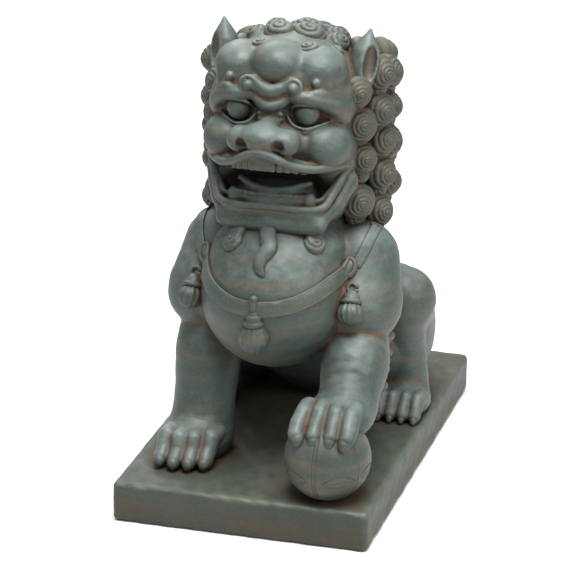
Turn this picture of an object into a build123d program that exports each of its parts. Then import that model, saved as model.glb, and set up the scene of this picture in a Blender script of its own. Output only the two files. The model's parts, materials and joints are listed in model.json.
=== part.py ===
from build123d import *
import os
from math import asin, cos, degrees, radians, sin, sqrt

# Guardian lion (foo dog) seated on a rectangular plinth, one forepaw on a brocade ball.
# Millimetres, +Z up. The lion faces -Y, and its own left side is +X.
# Origin: middle of the plinth's underside. The lion is laid out above the plinth's top face,
# the deck, so heights below are heights above the deck. A piece that is placed later is cut back
# by every piece that is there already, so neighbours meet face to face.

# ---------------------------------------------------------------- driving dimensions
plinth_width = 330.0
plinth_depth = 535.0
plinth_height = 52.0
plinth_corner = 7.0
plinth_edge = 4.0

rump_radius = 100.0
rump_y = 122.0
rump_z = 92.0
neck_radius = 76.0
neck_y = -18.0
throat_z = 304.0
nape_z = 278.0
chest_radius = 92.0
chest_y = -104.0
chest_z = 208.0
flank_half = 64.0
armpit_y = -116.0

shoulder_radius = 54.0
shoulder_x = 98.0
shoulder_y = -42.0
shoulder_z = 238.0
elbow_radius = 48.0
elbow_x = 104.0
elbow_y = -84.0
elbow_z = 150.0
ankle_radius = 41.0
wrist_radius = 38.0
forepaw_width = 88.0
forepaw_length = 92.0
forepaw_height = 44.0
forepaw_y = -206.0
toe_radius = 11.5
toes_per_paw = 4
claw_radius = 8.0

ball_radius = 54.0
ball_sink = 4.0
ball_x = 102.0
ball_y = -222.0

hip_radius = 72.0
hip_x = 94.0
hip_y = 140.0
hip_z = 84.0
knee_radius = 44.0
knee_x = 121.0
knee_y = 84.0
knee_z = 146.0
hock_radius = 29.0
hind_paw_width = 70.0
hind_paw_length = 84.0
hind_paw_height = 34.0
hind_paw_x = 128.0
hind_paw_y = 12.0

skull_radius = 92.0
skull_y = -27.0
skull_z = 438.0
skull_rise = 20.0
face_plane_y = -10.0
throat_depth = 56.0
muzzle_reach = 138.0
muzzle_bottom = 402.0
muzzle_top = 448.0
jaw_reach = 110.0
jaw_top = 346.0
lip_thickness = 6.0
tooth_height = 11.0
tooth_depth = 8.0
nose_radius = 16.0
eye_radius = 15.0
ear_radius = 22.0
ear_length = 44.0
ear_wall = 6.0
brow_radius = 11.0
beard_radius = 12.0
beard_length = 34.0

mane_radius = 108.0
mane_facets = 16
mane_y = 12.0
mane_z = 478.0
mane_dome = 60.0
mane_dome_lean = 40.0
curl_radius = 19.0
curl_sink = 3.0
curl_pitch = 40.0
curls_per_column = 5
crown_curl_radius = 14.0
crown_curl_sink = 7.5
tail_radius = 32.0
tail_bend_radius = 24.0
tail_tip_radius = 12.0
tail_curl_radius = 15.0
tuft_radius = 14.0

band_thickness = 5.0
band_width = 18.0
band_front_z = 232.0
band_tilt = 17.0
strap_width = 17.0
strap_tilt = 38.0
strap_z = 262.0
bell_radius = 16.0
bell_height = 36.0
pendant_radius = 18.0
pendant_height = 62.0

rod_radius = 6.0
rod_in_plinth = 36.0

LEFT = 1
RIGHT = -1
SIDES = {"left": LEFT, "right": RIGHT}


# ---------------------------------------------------------------- plain shapes
def turned_point(radius, angle, height):
    """A point on a circle of that radius round (0, height)."""
    return (radius * cos(radians(angle)), height + radius * sin(radians(angle)))


def limb(start, end, start_radius, end_radius):
    """A round limb with a ball at each end and a tangent cone between them."""
    a, b = Vector(*start), Vector(*end)
    length = (b - a).length
    lean = (start_radius - end_radius) / length
    tangent = degrees(asin(lean))
    low = turned_point(start_radius, tangent, 0)
    high = turned_point(end_radius, tangent, length)
    outline = (
        ThreePointArc((0, -start_radius), turned_point(start_radius, (tangent - 90) / 2, 0), low)
        + Line(low, high)
        + ThreePointArc(high, turned_point(end_radius, (tangent + 90) / 2, length),
                        (0, length + end_radius))
        + Line((0, length + end_radius), (0, -start_radius))
    )
    return Plane(origin=a, z_dir=b - a) * revolve(make_face(Plane.XZ * outline), Axis.Z, 360)


def ball(x, y, z, radius):
    """A ball whose seam faces away from the lion's middle, so that both sides are cut alike."""
    return Pos(x, y, z) * Rot(0, 0, 0 if x >= 0 else 180) * Sphere(radius)


def rod(start, end):
    a, b = Vector(*start), Vector(*end)
    return Plane(origin=(a + b) / 2, z_dir=b - a) * Cylinder(rod_radius, (b - a).length)


def block(x_range, y_range, z_range):
    """A box between two values on each axis."""
    low, high = zip(x_range, y_range, z_range)
    middle = [(one + other) / 2 for one, other in zip(low, high)]
    return Pos(*middle) * Box(*[other - one for one, other in zip(low, high)])


FAR = 700.0


def beyond(point, direction):
    """Everything on the side of the point that the direction looks to."""
    normal = Vector(*direction).normalized()
    return Plane(origin=Vector(*point) + normal * FAR, z_dir=normal) * Box(2 * FAR, 2 * FAR, 2 * FAR)


def mitred(shape, corner, start, end):
    """The part of a limb on the end's side of the joint at the corner between two limbs."""
    back = (Vector(*start) - Vector(*corner)).normalized()
    ahead = (Vector(*end) - Vector(*corner)).normalized()
    return shape & beyond(corner, tuple(ahead - back))


def above_deck(shape):
    """What is left of a shape over the deck."""
    return shape & beyond((0, 0, 0), (0, 0, 1))


def outward(shape, x, side):
    """What is left of a shape outside the plane at x on that side of the lion."""
    return shape & beyond((side * x, 0, 0), (side, 0, 0))


def slab(outline, bottom, top, edge):
    """A closed outline of (x, y) points raised from bottom to top, with rounded upright corners."""
    face = make_face(Polyline(*outline, close=True))
    face = fillet(face.vertices(), edge)
    return Pos(0, 0, bottom) * extrude(face, top - bottom)


def rounded_pad(width, length, height, edge):
    """A flat-bottomed pad standing on z = 0, with its upright and top edges rounded."""
    pad = Pos(0, 0, height / 2) * Box(width, length, height)
    pad = fillet(pad.edges().filter_by(Axis.Z), edge)
    return fillet(pad.edges().group_by(Axis.Z)[-1], edge * 0.8)


# ---------------------------------------------------------------- assembly
placed = {}
boxes = []


def place(name, *shapes):
    """Adds a node, each solid cut back by every solid near it that is there already."""
    solids = []
    for shape in shapes:
        room = shape.bounding_box()
        for other, other_room in boxes:
            if boxes_meet(room, other_room):
                shape = shape - other
        for solid in shape.solids():
            solids.append(solid)
            boxes.append((solid, solid.bounding_box()))
    placed[name] = solids


def boxes_meet(a, b):
    return all((
        a.min.X < b.max.X and b.min.X < a.max.X,
        a.min.Y < b.max.Y and b.min.Y < a.max.Y,
        a.min.Z < b.max.Z and b.min.Z < a.max.Z,
    ))


# ---------------------------------------------------------------- points the limbs run between
shoulder = {side: (x * shoulder_x, shoulder_y, shoulder_z) for side, x in SIDES.items()}
elbow = {side: (x * elbow_x, elbow_y, elbow_z) for side, x in SIDES.items()}
hip = {side: (x * hip_x, hip_y, hip_z) for side, x in SIDES.items()}
knee = {side: (x * knee_x, knee_y, knee_z) for side, x in SIDES.items()}
hock = {side: (x * hind_paw_x, hind_paw_y + 0.88 * hind_paw_length, 0) for side, x in SIDES.items()}
ankle = (-(elbow_x - 4), forepaw_y + 0.88 * forepaw_length, forepaw_height - 8)
ball_top = 2 * ball_radius - ball_sink
wrist = (ball_x - 3, ball_y + 0.72 * ball_radius, ball_top + 0.2 * wrist_radius)


# ---------------------------------------------------------------- steel inside
def steel_rods():
    place("foreleg_rods",
          rod(elbow["right"], (ankle[0], ankle[1], -rod_in_plinth)),
          rod(elbow["left"], wrist))
    place("ball_dowel", rod((ball_x, ball_y, -rod_in_plinth), (ball_x, ball_y, ball_radius)))
    place("neck_rod", rod((0, 20, chest_z), (0, 20, skull_z)))


# ---------------------------------------------------------------- plinth and body
def plinth():
    stone = Pos(0, 0, -plinth_height / 2) * Box(plinth_width, plinth_depth, plinth_height)
    stone = fillet(stone.edges().filter_by(Axis.Z), plinth_corner)
    stone = fillet(stone.edges().group_by(Axis.Z)[-1], plinth_edge)
    place("plinth", stone)


def torso():
    trunk = limb((0, rump_y, rump_z), (0, neck_y, throat_z), rump_radius, neck_radius)
    body = trunk + ball(0, chest_y, chest_z, chest_radius)
    body = body & block((-FAR, FAR), (-FAR, FAR), (0, throat_z))
    body = body - block((-FAR, FAR), (face_plane_y, FAR), (nape_z, FAR))
    for x in SIDES.values():
        edge = sorted((x * flank_half, x * FAR))
        body = body - block(edge, (armpit_y, FAR), (-1, FAR))
    place("torso", body)


def toe_xs(middle, width):
    """The toes' middles across a paw of that width."""
    pitch = (width - 2 * toe_radius) / (toes_per_paw - 1)
    return [middle - width / 2 + toe_radius + i * pitch for i in range(toes_per_paw)]


def standing_paw(node, claw_node, middle, front, width, length, height):
    """A paw flat on the deck: a rounded pad with toes in front, and a claw at each toe's tip."""
    foot = Pos(middle, front + 22 + length / 2, 0) * rounded_pad(width, length - 14, height, 14)
    sole = toe_radius + 3
    for x in toe_xs(middle, width):
        foot = foot + limb((x, front + 44, sole + 9), (x, front + toe_radius, sole),
                           toe_radius + 1, toe_radius)
    place(node, foot)
    place(claw_node, *[ball(x, front - 1, claw_radius, claw_radius) for x in toe_xs(middle, width)])


def ball_and_hand():
    place("brocade_ball", above_deck(ball(ball_x, ball_y, ball_radius - ball_sink, ball_radius)))
    hand = limb((ball_x - 22, ball_y + 8, ball_top), (ball_x + 14, ball_y + 8, ball_top), 24, 24)
    tips = []
    for x in toe_xs(ball_x - 4, forepaw_width - 8):
        off_middle = (x - ball_x) / ball_radius
        reach = 0.86 * ball_radius * sqrt(1 - min(0.9, off_middle ** 2)) + 6
        tip = (x, ball_y - reach, ball_top - 26)
        hand = hand + limb((x, ball_y - 10, ball_top + 10), tip, toe_radius, toe_radius - 1)
        tips.append(limb(tip, (x, tip[1] - 2, tip[2] - 12), claw_radius, claw_radius - 3))
    place("forepaw_left", hand)
    place("foreclaws_left", *tips)


def shoulders_and_forelegs():
    standing_paw("forepaw_right", "foreclaws_right", ankle[0], forepaw_y,
                 forepaw_width, forepaw_length, forepaw_height)
    ends = {"left": (wrist, wrist_radius), "right": (ankle, ankle_radius)}
    for side, x in SIDES.items():
        end, end_radius = ends[side]
        upper = outward(limb(shoulder[side], elbow[side], shoulder_radius, elbow_radius), flank_half, x)
        lower = above_deck(limb(elbow[side], end, elbow_radius, end_radius))
        place(f"shoulder_{side}", mitred(upper, elbow[side], end, shoulder[side]))
        place(f"foreleg_{side}", mitred(lower, elbow[side], shoulder[side], end))


def elbow_tufts():
    for side, x in SIDES.items():
        top = (x * (elbow_x + 25), elbow_y + 40, elbow_z - 10)
        place(f"elbow_tufts_{side}", *[
            ball(top[0] - x * 2 * i, top[1] - 4 * i, top[2] - 1.9 * tuft_radius * i, tuft_radius - i)
            for i in range(3)
        ])


def hind_legs():
    for side, x in SIDES.items():
        standing_paw(f"hind_paw_{side}", f"hind_claws_{side}", x * hind_paw_x, hind_paw_y,
                     hind_paw_width, hind_paw_length, hind_paw_height)
        thigh = outward(limb(hip[side], knee[side], hip_radius, knee_radius), flank_half, x)
        shin = limb(knee[side], hock[side], knee_radius, hock_radius)
        place(f"hind_leg_{side}", above_deck(mitred(shin, knee[side], hip[side], hock[side])))
        place(f"haunch_{side}", above_deck(mitred(thigh, knee[side], hock[side], hip[side])))


def tail():
    root = (0, rump_y + 0.86 * rump_radius, tail_radius - 2)
    bend = (0, rump_y + 0.98 * rump_radius, rump_z + 0.18 * rump_radius)
    tip = (0, rump_y + 0.48 * rump_radius, rump_z + 1.12 * rump_radius)
    lower = above_deck(limb(root, bend, tail_radius, tail_bend_radius))
    upper = limb(bend, tip, tail_bend_radius, tail_tip_radius)
    place("tail", mitred(lower, bend, tip, root), mitred(upper, bend, root, tip))
    spots = [(44, 0.95, -0.33), (40, 0.99, 0.15), (33, 0.75, 0.64)]
    place("tail_curls", *[
        ball(x * out, rump_y + back * rump_radius, rump_z + up * rump_radius, tail_curl_radius)
        for x in SIDES.values() for out, back, up in spots
    ])


# ---------------------------------------------------------------- head
skull_top_z = skull_z + skull_rise


def on_skull(azimuth, height, out=0.0):
    """A point at that height on the skull. Azimuth -90 is straight ahead, and 0 is the left side."""
    over = max(0.0, height - skull_top_z)
    across = sqrt(max(0.0, skull_radius ** 2 - over ** 2)) + out
    return (across * cos(radians(azimuth)), skull_y + across * sin(radians(azimuth)), height)


def face_outline(reach, front_half, side_half):
    """Plan outline of a jaw: wide at the cheeks and square at the front."""
    front = skull_y - reach
    turn = skull_y - 0.35 * reach
    return [(-side_half, face_plane_y), (-side_half, turn), (-front_half, front),
            (front_half, front), (side_half, turn), (side_half, face_plane_y)]


def skull():
    bowl = limb((0, skull_y, jaw_top), (0, skull_y, skull_top_z), skull_radius, skull_radius)
    place("skull", bowl & block((-FAR, FAR), (-FAR, face_plane_y), (muzzle_bottom, FAR)))
    place("throat", bowl & block((-FAR, FAR), (face_plane_y - throat_depth, face_plane_y),
                                 (jaw_top, muzzle_bottom)))


def jaws():
    muzzle_front, jaw_front = 0.5 * skull_radius, 0.62 * skull_radius
    cheek_half, jaw_half = 0.96 * skull_radius, 0.9 * skull_radius
    muzzle = slab(face_outline(muzzle_reach, muzzle_front, cheek_half), muzzle_bottom, muzzle_top, 12)
    jaw = slab(face_outline(jaw_reach, jaw_front, jaw_half), throat_z, jaw_top, 12)
    nose_front = skull_y - muzzle_reach + 2
    nose_z = muzzle_top - 12
    inside = lip_thickness + 1
    upper_row = tooth_row(muzzle_reach - inside, muzzle_front - inside, cheek_half - 14)
    lower_row = tooth_row(jaw_reach - inside, jaw_front - inside, jaw_half - 14)
    tongue = slab(face_outline(jaw_reach - 22, 0.3 * skull_radius, 0.42 * skull_radius),
                  jaw_top, jaw_top + 16, 12)
    place("nose", limb((-22, nose_front, nose_z), (22, nose_front, nose_z), nose_radius, nose_radius))
    place("muzzle", muzzle)
    place("lower_jaw", jaw)
    lip = slab(face_outline(muzzle_reach + lip_thickness, muzzle_front + lip_thickness,
                            cheek_half + 3), muzzle_bottom, muzzle_bottom + 12, 12)
    place("upper_lip", front_of(lip, skull_y - 0.3 * muzzle_reach))
    place("upper_teeth", Pos(0, 0, muzzle_bottom - tooth_height) * extrude(upper_row, tooth_height))
    place("lower_teeth", Pos(0, 0, jaw_top) * extrude(lower_row, tooth_height))
    place("tongue", tongue)


def tooth_row(reach, front_half, side_half):
    """Plan of a row of teeth: the jaw's outline, tooth_depth wide, open at the back."""
    outer = make_face(Polyline(*face_outline(reach, front_half, side_half), close=True))
    inner = make_face(Polyline(*face_outline(reach - tooth_depth, front_half - tooth_depth / 2,
                                             side_half - tooth_depth), close=True))
    back = Pos(0, skull_y, 0) * Rectangle(400, 0.8 * reach)
    return outer - inner - back


def front_of(shape, y):
    return shape & beyond((0, y, 0), (0, -1, 0))


def eyes_and_brows():
    for side, x in SIDES.items():
        place(f"eye_{side}", ball(*on_skull(-90 + x * 27, 458, -4), eye_radius))
        inner = on_skull(-90 + x * 10, 486)
        outer = on_skull(-90 + x * 46, 494)
        place(f"brow_{side}", limb(inner, outer, brow_radius + 2, brow_radius))


def ears():
    for side, x in SIDES.items():
        foot = (x * (skull_radius - 4), face_plane_y - 0.75 * ear_radius, skull_top_z + 26)
        tip = (foot[0] + x * 4, foot[1], foot[2] + ear_length)
        leaf = limb(foot, tip, ear_radius, ear_radius / 3)
        hollow_foot = (foot[0], foot[1] - 0.7 * ear_radius, foot[2] + 4)
        hollow_tip = (tip[0], tip[1] - 0.5 * ear_radius, tip[2])
        hollow = limb(hollow_foot, hollow_tip, ear_radius - ear_wall, ear_radius / 3 - 1)
        place(f"ear_{side}", leaf - hollow)


def beard():
    front = skull_y - jaw_reach
    for side, x in SIDES.items():
        place(f"beard_lock_{side}", limb((x * 50, front + 12, throat_z + 8),
                                         (x * 53, front + 10, throat_z - 20), 8, beard_radius))
    place("beard_lock_middle", limb((0, front + 4, throat_z + 8),
                                    (4, front - 10, throat_z + 8 - 1.6 * beard_length), 9, 7))


# ---------------------------------------------------------------- mane
facet_step = 360 / mane_facets


def mane():
    outline = Rot(0, 0, facet_step / 2) * RegularPolygon(mane_radius, mane_facets, major_radius=False)
    sides = extrude(Pos(0, mane_y, nape_z) * outline, mane_z - nape_z)
    dome = extrude(Pos(0, mane_y, mane_z) * outline, mane_dome, taper=mane_dome_lean)
    place("mane", (sides + dome) & block((-FAR, FAR), (face_plane_y, FAR), (nape_z, FAR)))


def curl(azimuth, height):
    """A round curl seated on the mane's facet that faces that way. 0 is the left, 90 is the back."""
    dome = Sphere(curl_radius) & block((-curl_sink, FAR), (-FAR, FAR), (-FAR, FAR))
    return Pos(0, mane_y, height) * Rot(0, 0, azimuth) * Pos(mane_radius + curl_sink, 0, 0) * dome


def curl_column(facet):
    """A column of curls on one facet, counted from the back's. Every other column is half a pitch lower."""
    lower = facet % 2
    top = mane_z - curl_radius - 1 - 0.5 * curl_pitch * lower
    return [curl(90 + facet * facet_step, top - curl_pitch * i) for i in range(curls_per_column - lower)]


def mane_curls():
    for side, x in SIDES.items():
        cheek = [ball(*on_skull(-90 + x * 76, jaw_top + 12 + curl_pitch * i, 12.5), curl_radius)
                 for i in range(3)]
        place(f"mane_curls_{side}", *cheek, *curl_column(-4 * x), *curl_column(-3 * x))
    place("mane_curls_back", *[dome for facet in (-2, -1, 0, 1, 2) for dome in curl_column(facet)])


def skull_height(x, y):
    """The height of the skull's rounded top over the point (x, y)."""
    over = skull_radius ** 2 - x ** 2 - (y - skull_y) ** 2
    return skull_top_z + sqrt(max(0.0, over))


def crown_curls():
    on_top = [(x, y, skull_height(x, y)) for x, y in ((-26, -36), (26, -36))]
    behind = [(x, y, mane_z + mane_dome) for x, y in ((-22, 20), (22, 20))]
    place("crown_curls", *[ball(x, y, z - crown_curl_sink, crown_curl_radius)
                           for x, y, z in on_top + behind])
    place("forehead_curls", *[
        ball(*on_skull(azimuth, 528), crown_curl_radius - 3) for azimuth in (-134, -90, -46)
    ])


# ---------------------------------------------------------------- harness
def tilted_slab(width, tilt, z, y):
    """A flat slice through the body, rising towards the back by the tilt."""
    return Pos(0, y, z) * Rot(tilt, 0, 0) * Box(FAR, FAR, width)


def harness():
    band_front = chest_y - chest_radius
    band = ball(0, chest_y, chest_z, chest_radius + band_thickness)
    band = band & tilted_slab(band_width, band_tilt, band_front_z, band_front)
    pendant_low = (0, band_front - 2, band_front_z - 2 - pendant_height + pendant_radius)
    pendant_high = (0, band_front + 6, band_front_z - 10)
    place("chest_pendant", limb(pendant_low, pendant_high, pendant_radius, 8))
    for side, x in SIDES.items():
        centre = (x * (elbow_x + 1), chest_y - 19, chest_z + 2)
        top = (centre[0], centre[1] + 3, centre[2] + bell_height - bell_radius - 8)
        place(f"side_bell_{side}", limb(centre, top, bell_radius, 8))
    place("chest_band", front_of(band, armpit_y))
    for side, x in SIDES.items():
        grown = limb(shoulder[side], elbow[side], shoulder_radius + band_thickness,
                     elbow_radius + band_thickness)
        strap = grown & tilted_slab(strap_width, strap_tilt, strap_z, shoulder_y - 24)
        place(f"shoulder_strap_{side}", outward(strap, flank_half, x))


def model():
    steel_rods()
    plinth()
    torso()
    ball_and_hand()
    shoulders_and_forelegs()
    hind_legs()
    skull()
    jaws()
    eyes_and_brows()
    mane()
    ears()
    beard()
    tail()
    mane_curls()
    crown_curls()
    elbow_tufts()
    harness()


def write(folder):
    os.makedirs(folder, exist_ok=True)
    for name, node in placed.items():
        solids = [Pos(0, 0, plinth_height) * solid for solid in node]
        whole = solids[0] if len(solids) == 1 else Compound(children=solids)
        export_step(whole, f"{folder}/{name}.step")


model()
write("parts")
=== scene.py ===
import json
import math
import bpy
import numpy as np
from mathutils import Matrix, Vector

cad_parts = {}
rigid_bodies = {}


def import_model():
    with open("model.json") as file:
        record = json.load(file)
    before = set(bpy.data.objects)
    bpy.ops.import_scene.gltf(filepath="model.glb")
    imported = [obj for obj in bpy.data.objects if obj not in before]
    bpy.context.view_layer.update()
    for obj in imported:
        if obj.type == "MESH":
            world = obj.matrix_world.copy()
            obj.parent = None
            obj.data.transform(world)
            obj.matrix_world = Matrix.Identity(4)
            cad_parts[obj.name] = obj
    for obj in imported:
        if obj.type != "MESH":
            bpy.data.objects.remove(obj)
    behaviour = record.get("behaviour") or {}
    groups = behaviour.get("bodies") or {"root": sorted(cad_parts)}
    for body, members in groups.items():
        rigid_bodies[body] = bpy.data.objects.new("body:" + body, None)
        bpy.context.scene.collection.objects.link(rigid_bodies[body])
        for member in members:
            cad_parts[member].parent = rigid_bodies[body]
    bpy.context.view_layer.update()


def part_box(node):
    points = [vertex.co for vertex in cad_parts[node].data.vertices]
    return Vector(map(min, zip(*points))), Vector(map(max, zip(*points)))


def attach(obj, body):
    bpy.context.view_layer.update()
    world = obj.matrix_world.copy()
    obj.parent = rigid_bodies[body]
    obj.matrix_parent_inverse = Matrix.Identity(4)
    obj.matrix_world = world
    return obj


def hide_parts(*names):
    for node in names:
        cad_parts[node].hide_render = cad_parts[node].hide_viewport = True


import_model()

# Guardian lion, cast in stone. Shapes are worked out in millimetres in the CAD frame: +Z up, the lion
# faces -Y and its own left side is +X. Soft masses are modelled as clay: a signed distance on a grid,
# with members joined by fillets, which is cut into its members where they meet. Ornaments are surfaces
# of two parameters.

MM = 0.001
SIDES = {"left": 1, "right": -1}
COARSE = 1.0
FAR_AWAY = 60.0

CAMERA_AZIMUTH = 16.35
CAMERA_ELEVATION = 21.5
CAMERA_AWAY = 4.2071
CAMERA_RIGHT = -0.01353
CAMERA_UP = 0.21473


# ---------------------------------------------------------------- camera, light, floor
def place_camera():
    """A long lens, a little to the lion's left and above it."""
    azimuth, elevation = math.radians(CAMERA_AZIMUTH), math.radians(CAMERA_ELEVATION)
    back = Vector((math.sin(azimuth) * math.cos(elevation), -math.cos(azimuth) * math.cos(elevation),
                   math.sin(elevation)))
    right = Vector((math.cos(azimuth), math.sin(azimuth), 0))
    up = back.cross(right)
    data = bpy.data.cameras.new("camera")
    data.lens = 200
    data.sensor_width = 36
    camera = bpy.data.objects.new("camera", data)
    camera.location = back * CAMERA_AWAY + right * CAMERA_RIGHT + up * CAMERA_UP
    camera.rotation_euler = Matrix((right, up, back)).transposed().to_euler()
    bpy.context.scene.collection.objects.link(camera)
    bpy.context.scene.camera = camera


def area_light(name, spot, aim, size, watts, tint=(1, 1, 1)):
    data = bpy.data.lights.new(name, "AREA")
    data.shape = "DISK"
    data.size = size
    data.energy = watts
    data.color = tint
    light = bpy.data.objects.new(name, data)
    light.location = spot
    light.rotation_euler = (Vector(spot) - Vector(aim)).to_track_quat("Z", "Y").to_euler()
    bpy.context.scene.collection.objects.link(light)


def light_studio():
    """A big soft lamp overhead, a weaker one on the left side and behind, and a pale room."""
    middle = (0, 0, 0.33)
    area_light("key", (0.35, -0.75, 3.3), middle, 1.9, 140)
    area_light("fill", (2.6, -1.2, 1.8), middle, 1.5, 40)
    area_light("rim", (-1.2, 2.2, 2.4), middle, 1.6, 30)
    world = bpy.data.worlds.new("room")
    bpy.context.scene.world = world
    world.use_nodes = True
    sky = world.node_tree.nodes["Background"]
    sky.inputs["Color"].default_value = (1, 1, 1, 1)
    sky.inputs["Strength"].default_value = 0.42
    bpy.context.scene.view_settings.view_transform = "Standard"


def lay_floor():
    half = 20.0
    mesh = bpy.data.meshes.new("floor")
    corners = [(-half, -half, 0), (half, -half, 0), (half, half, 0), (-half, half, 0)]
    mesh.from_pydata(corners, [], [(0, 1, 2, 3)])
    floor = bpy.data.objects.new("floor", mesh)
    bpy.context.scene.collection.objects.link(floor)
    paper = bpy.data.materials.new("floor_paper")
    paper.use_nodes = True
    shader = paper.node_tree.nodes["Principled BSDF"]
    shader.inputs["Base Color"].default_value = (0.95, 0.95, 0.95, 1)
    shader.inputs["Roughness"].default_value = 0.9
    mesh.materials.append(paper)


# ---------------------------------------------------------------- places taken from the frame
def low_of(node):
    return np.array(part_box(node)[0]) / MM


def high_of(node):
    return np.array(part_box(node)[1]) / MM


def middle_of(node):
    return (low_of(node) + high_of(node)) / 2


def at(point, side, *offset):
    """A point and an offset from it, with X counted outwards on that side of the lion."""
    dx, dy, dz = offset
    return np.array([point[0] + side * dx, point[1] + dy, point[2] + dz])


def both(points, side):
    """Points of a limb or a path given for the lion's left side, on either side."""
    return [(side * q[0], *q[1:]) for q in points]


DECK = high_of("plinth")[2]
RIGHT_TOES = (-122, -103, -84, -65)
RIGHT_TIPS = (-200, -204, -202, -196)
LEFT_TOES = (73, 93, 113, 132)
HIND_TOES = (104, 120, 136, 152)


# ---------------------------------------------------------------- clay shapes
class Shape:
    """A signed distance in millimetres as a function of x, y and z, and the box that it fits in."""

    def __init__(self, low, high, distance):
        self.low, self.high, self.distance = np.array(low, float), np.array(high, float), distance


def egg(centre, radii, turn=(0, 0, 0)):
    """An ellipsoid: |p / r| times (|p / r| - 1) over |p / r^2|, with p turned by the angles in degrees."""
    c = np.array(centre, np.float32)
    r = np.array(radii, np.float32)
    spin = np.array(euler(turn), np.float32)
    reach = np.sqrt((spin ** 2) @ (r ** 2))

    def distance(x, y, z):
        q = [(x - c[0]) * spin[0, i] + (y - c[1]) * spin[1, i] + (z - c[2]) * spin[2, i] for i in range(3)]
        near = np.sqrt((q[0] / r[0]) ** 2 + (q[1] / r[1]) ** 2 + (q[2] / r[2]) ** 2)
        slope = np.sqrt((q[0] / r[0] ** 2) ** 2 + (q[1] / r[1] ** 2) ** 2 + (q[2] / r[2] ** 2) ** 2)
        return near * (near - 1) / np.maximum(slope, 1e-6)

    return Shape(c - reach, c + reach, distance)


def euler(turn):
    """The rotation matrix of three angles in degrees, applied about X, then Y, then Z."""
    a, b, c = np.radians(turn)
    about_x = np.array([[1, 0, 0], [0, np.cos(a), -np.sin(a)], [0, np.sin(a), np.cos(a)]])
    about_y = np.array([[np.cos(b), 0, np.sin(b)], [0, 1, 0], [-np.sin(b), 0, np.cos(b)]])
    about_z = np.array([[np.cos(c), -np.sin(c), 0], [np.sin(c), np.cos(c), 0], [0, 0, 1]])
    return about_z @ about_y @ about_x


def limb(*points):
    """A round limb through points (x, y, z, radius): the nearest segment's distance less its radius there."""
    p = np.array(points, np.float32)

    def distance(x, y, z):
        best = None
        for a, b in zip(p[:-1], p[1:]):
            along = b[:3] - a[:3]
            t = (x - a[0]) * along[0] + (y - a[1]) * along[1] + (z - a[2]) * along[2]
            t = np.clip(t / max(1e-6, float(along @ along)), 0, 1)
            d = np.sqrt((x - a[0] - t * along[0]) ** 2 + (y - a[1] - t * along[1]) ** 2
                        + (z - a[2] - t * along[2]) ** 2) - (a[3] + t * (b[3] - a[3]))
            best = d if best is None else np.minimum(best, d)
        return best

    reach = p[:, 3:]
    return Shape((p[:, :3] - reach).min(0), (p[:, :3] + reach).max(0), distance)


def slab(low, high, edge):
    """A box with rounded edges."""
    low, high = np.array(low, np.float32), np.array(high, np.float32)
    c, half = (low + high) / 2, (high - low) / 2 - edge

    def distance(x, y, z):
        q = [np.abs(v - c[i]) - half[i] for i, v in enumerate((x, y, z))]
        outside = np.sqrt(sum(np.maximum(v, 0) ** 2 for v in q))
        return outside + np.minimum(np.maximum(np.maximum(q[0], q[1]), q[2]), 0) - edge

    return Shape(low, high, distance)


def smooth_min(a, b, blend):
    """The smaller of two distances, rounded off over the blend."""
    if blend <= 0:
        return np.minimum(a, b)
    h = np.clip(0.5 + 0.5 * (b - a) / blend, 0, 1)
    return b + (a - b) * h - blend * h * (1 - h)


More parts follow.
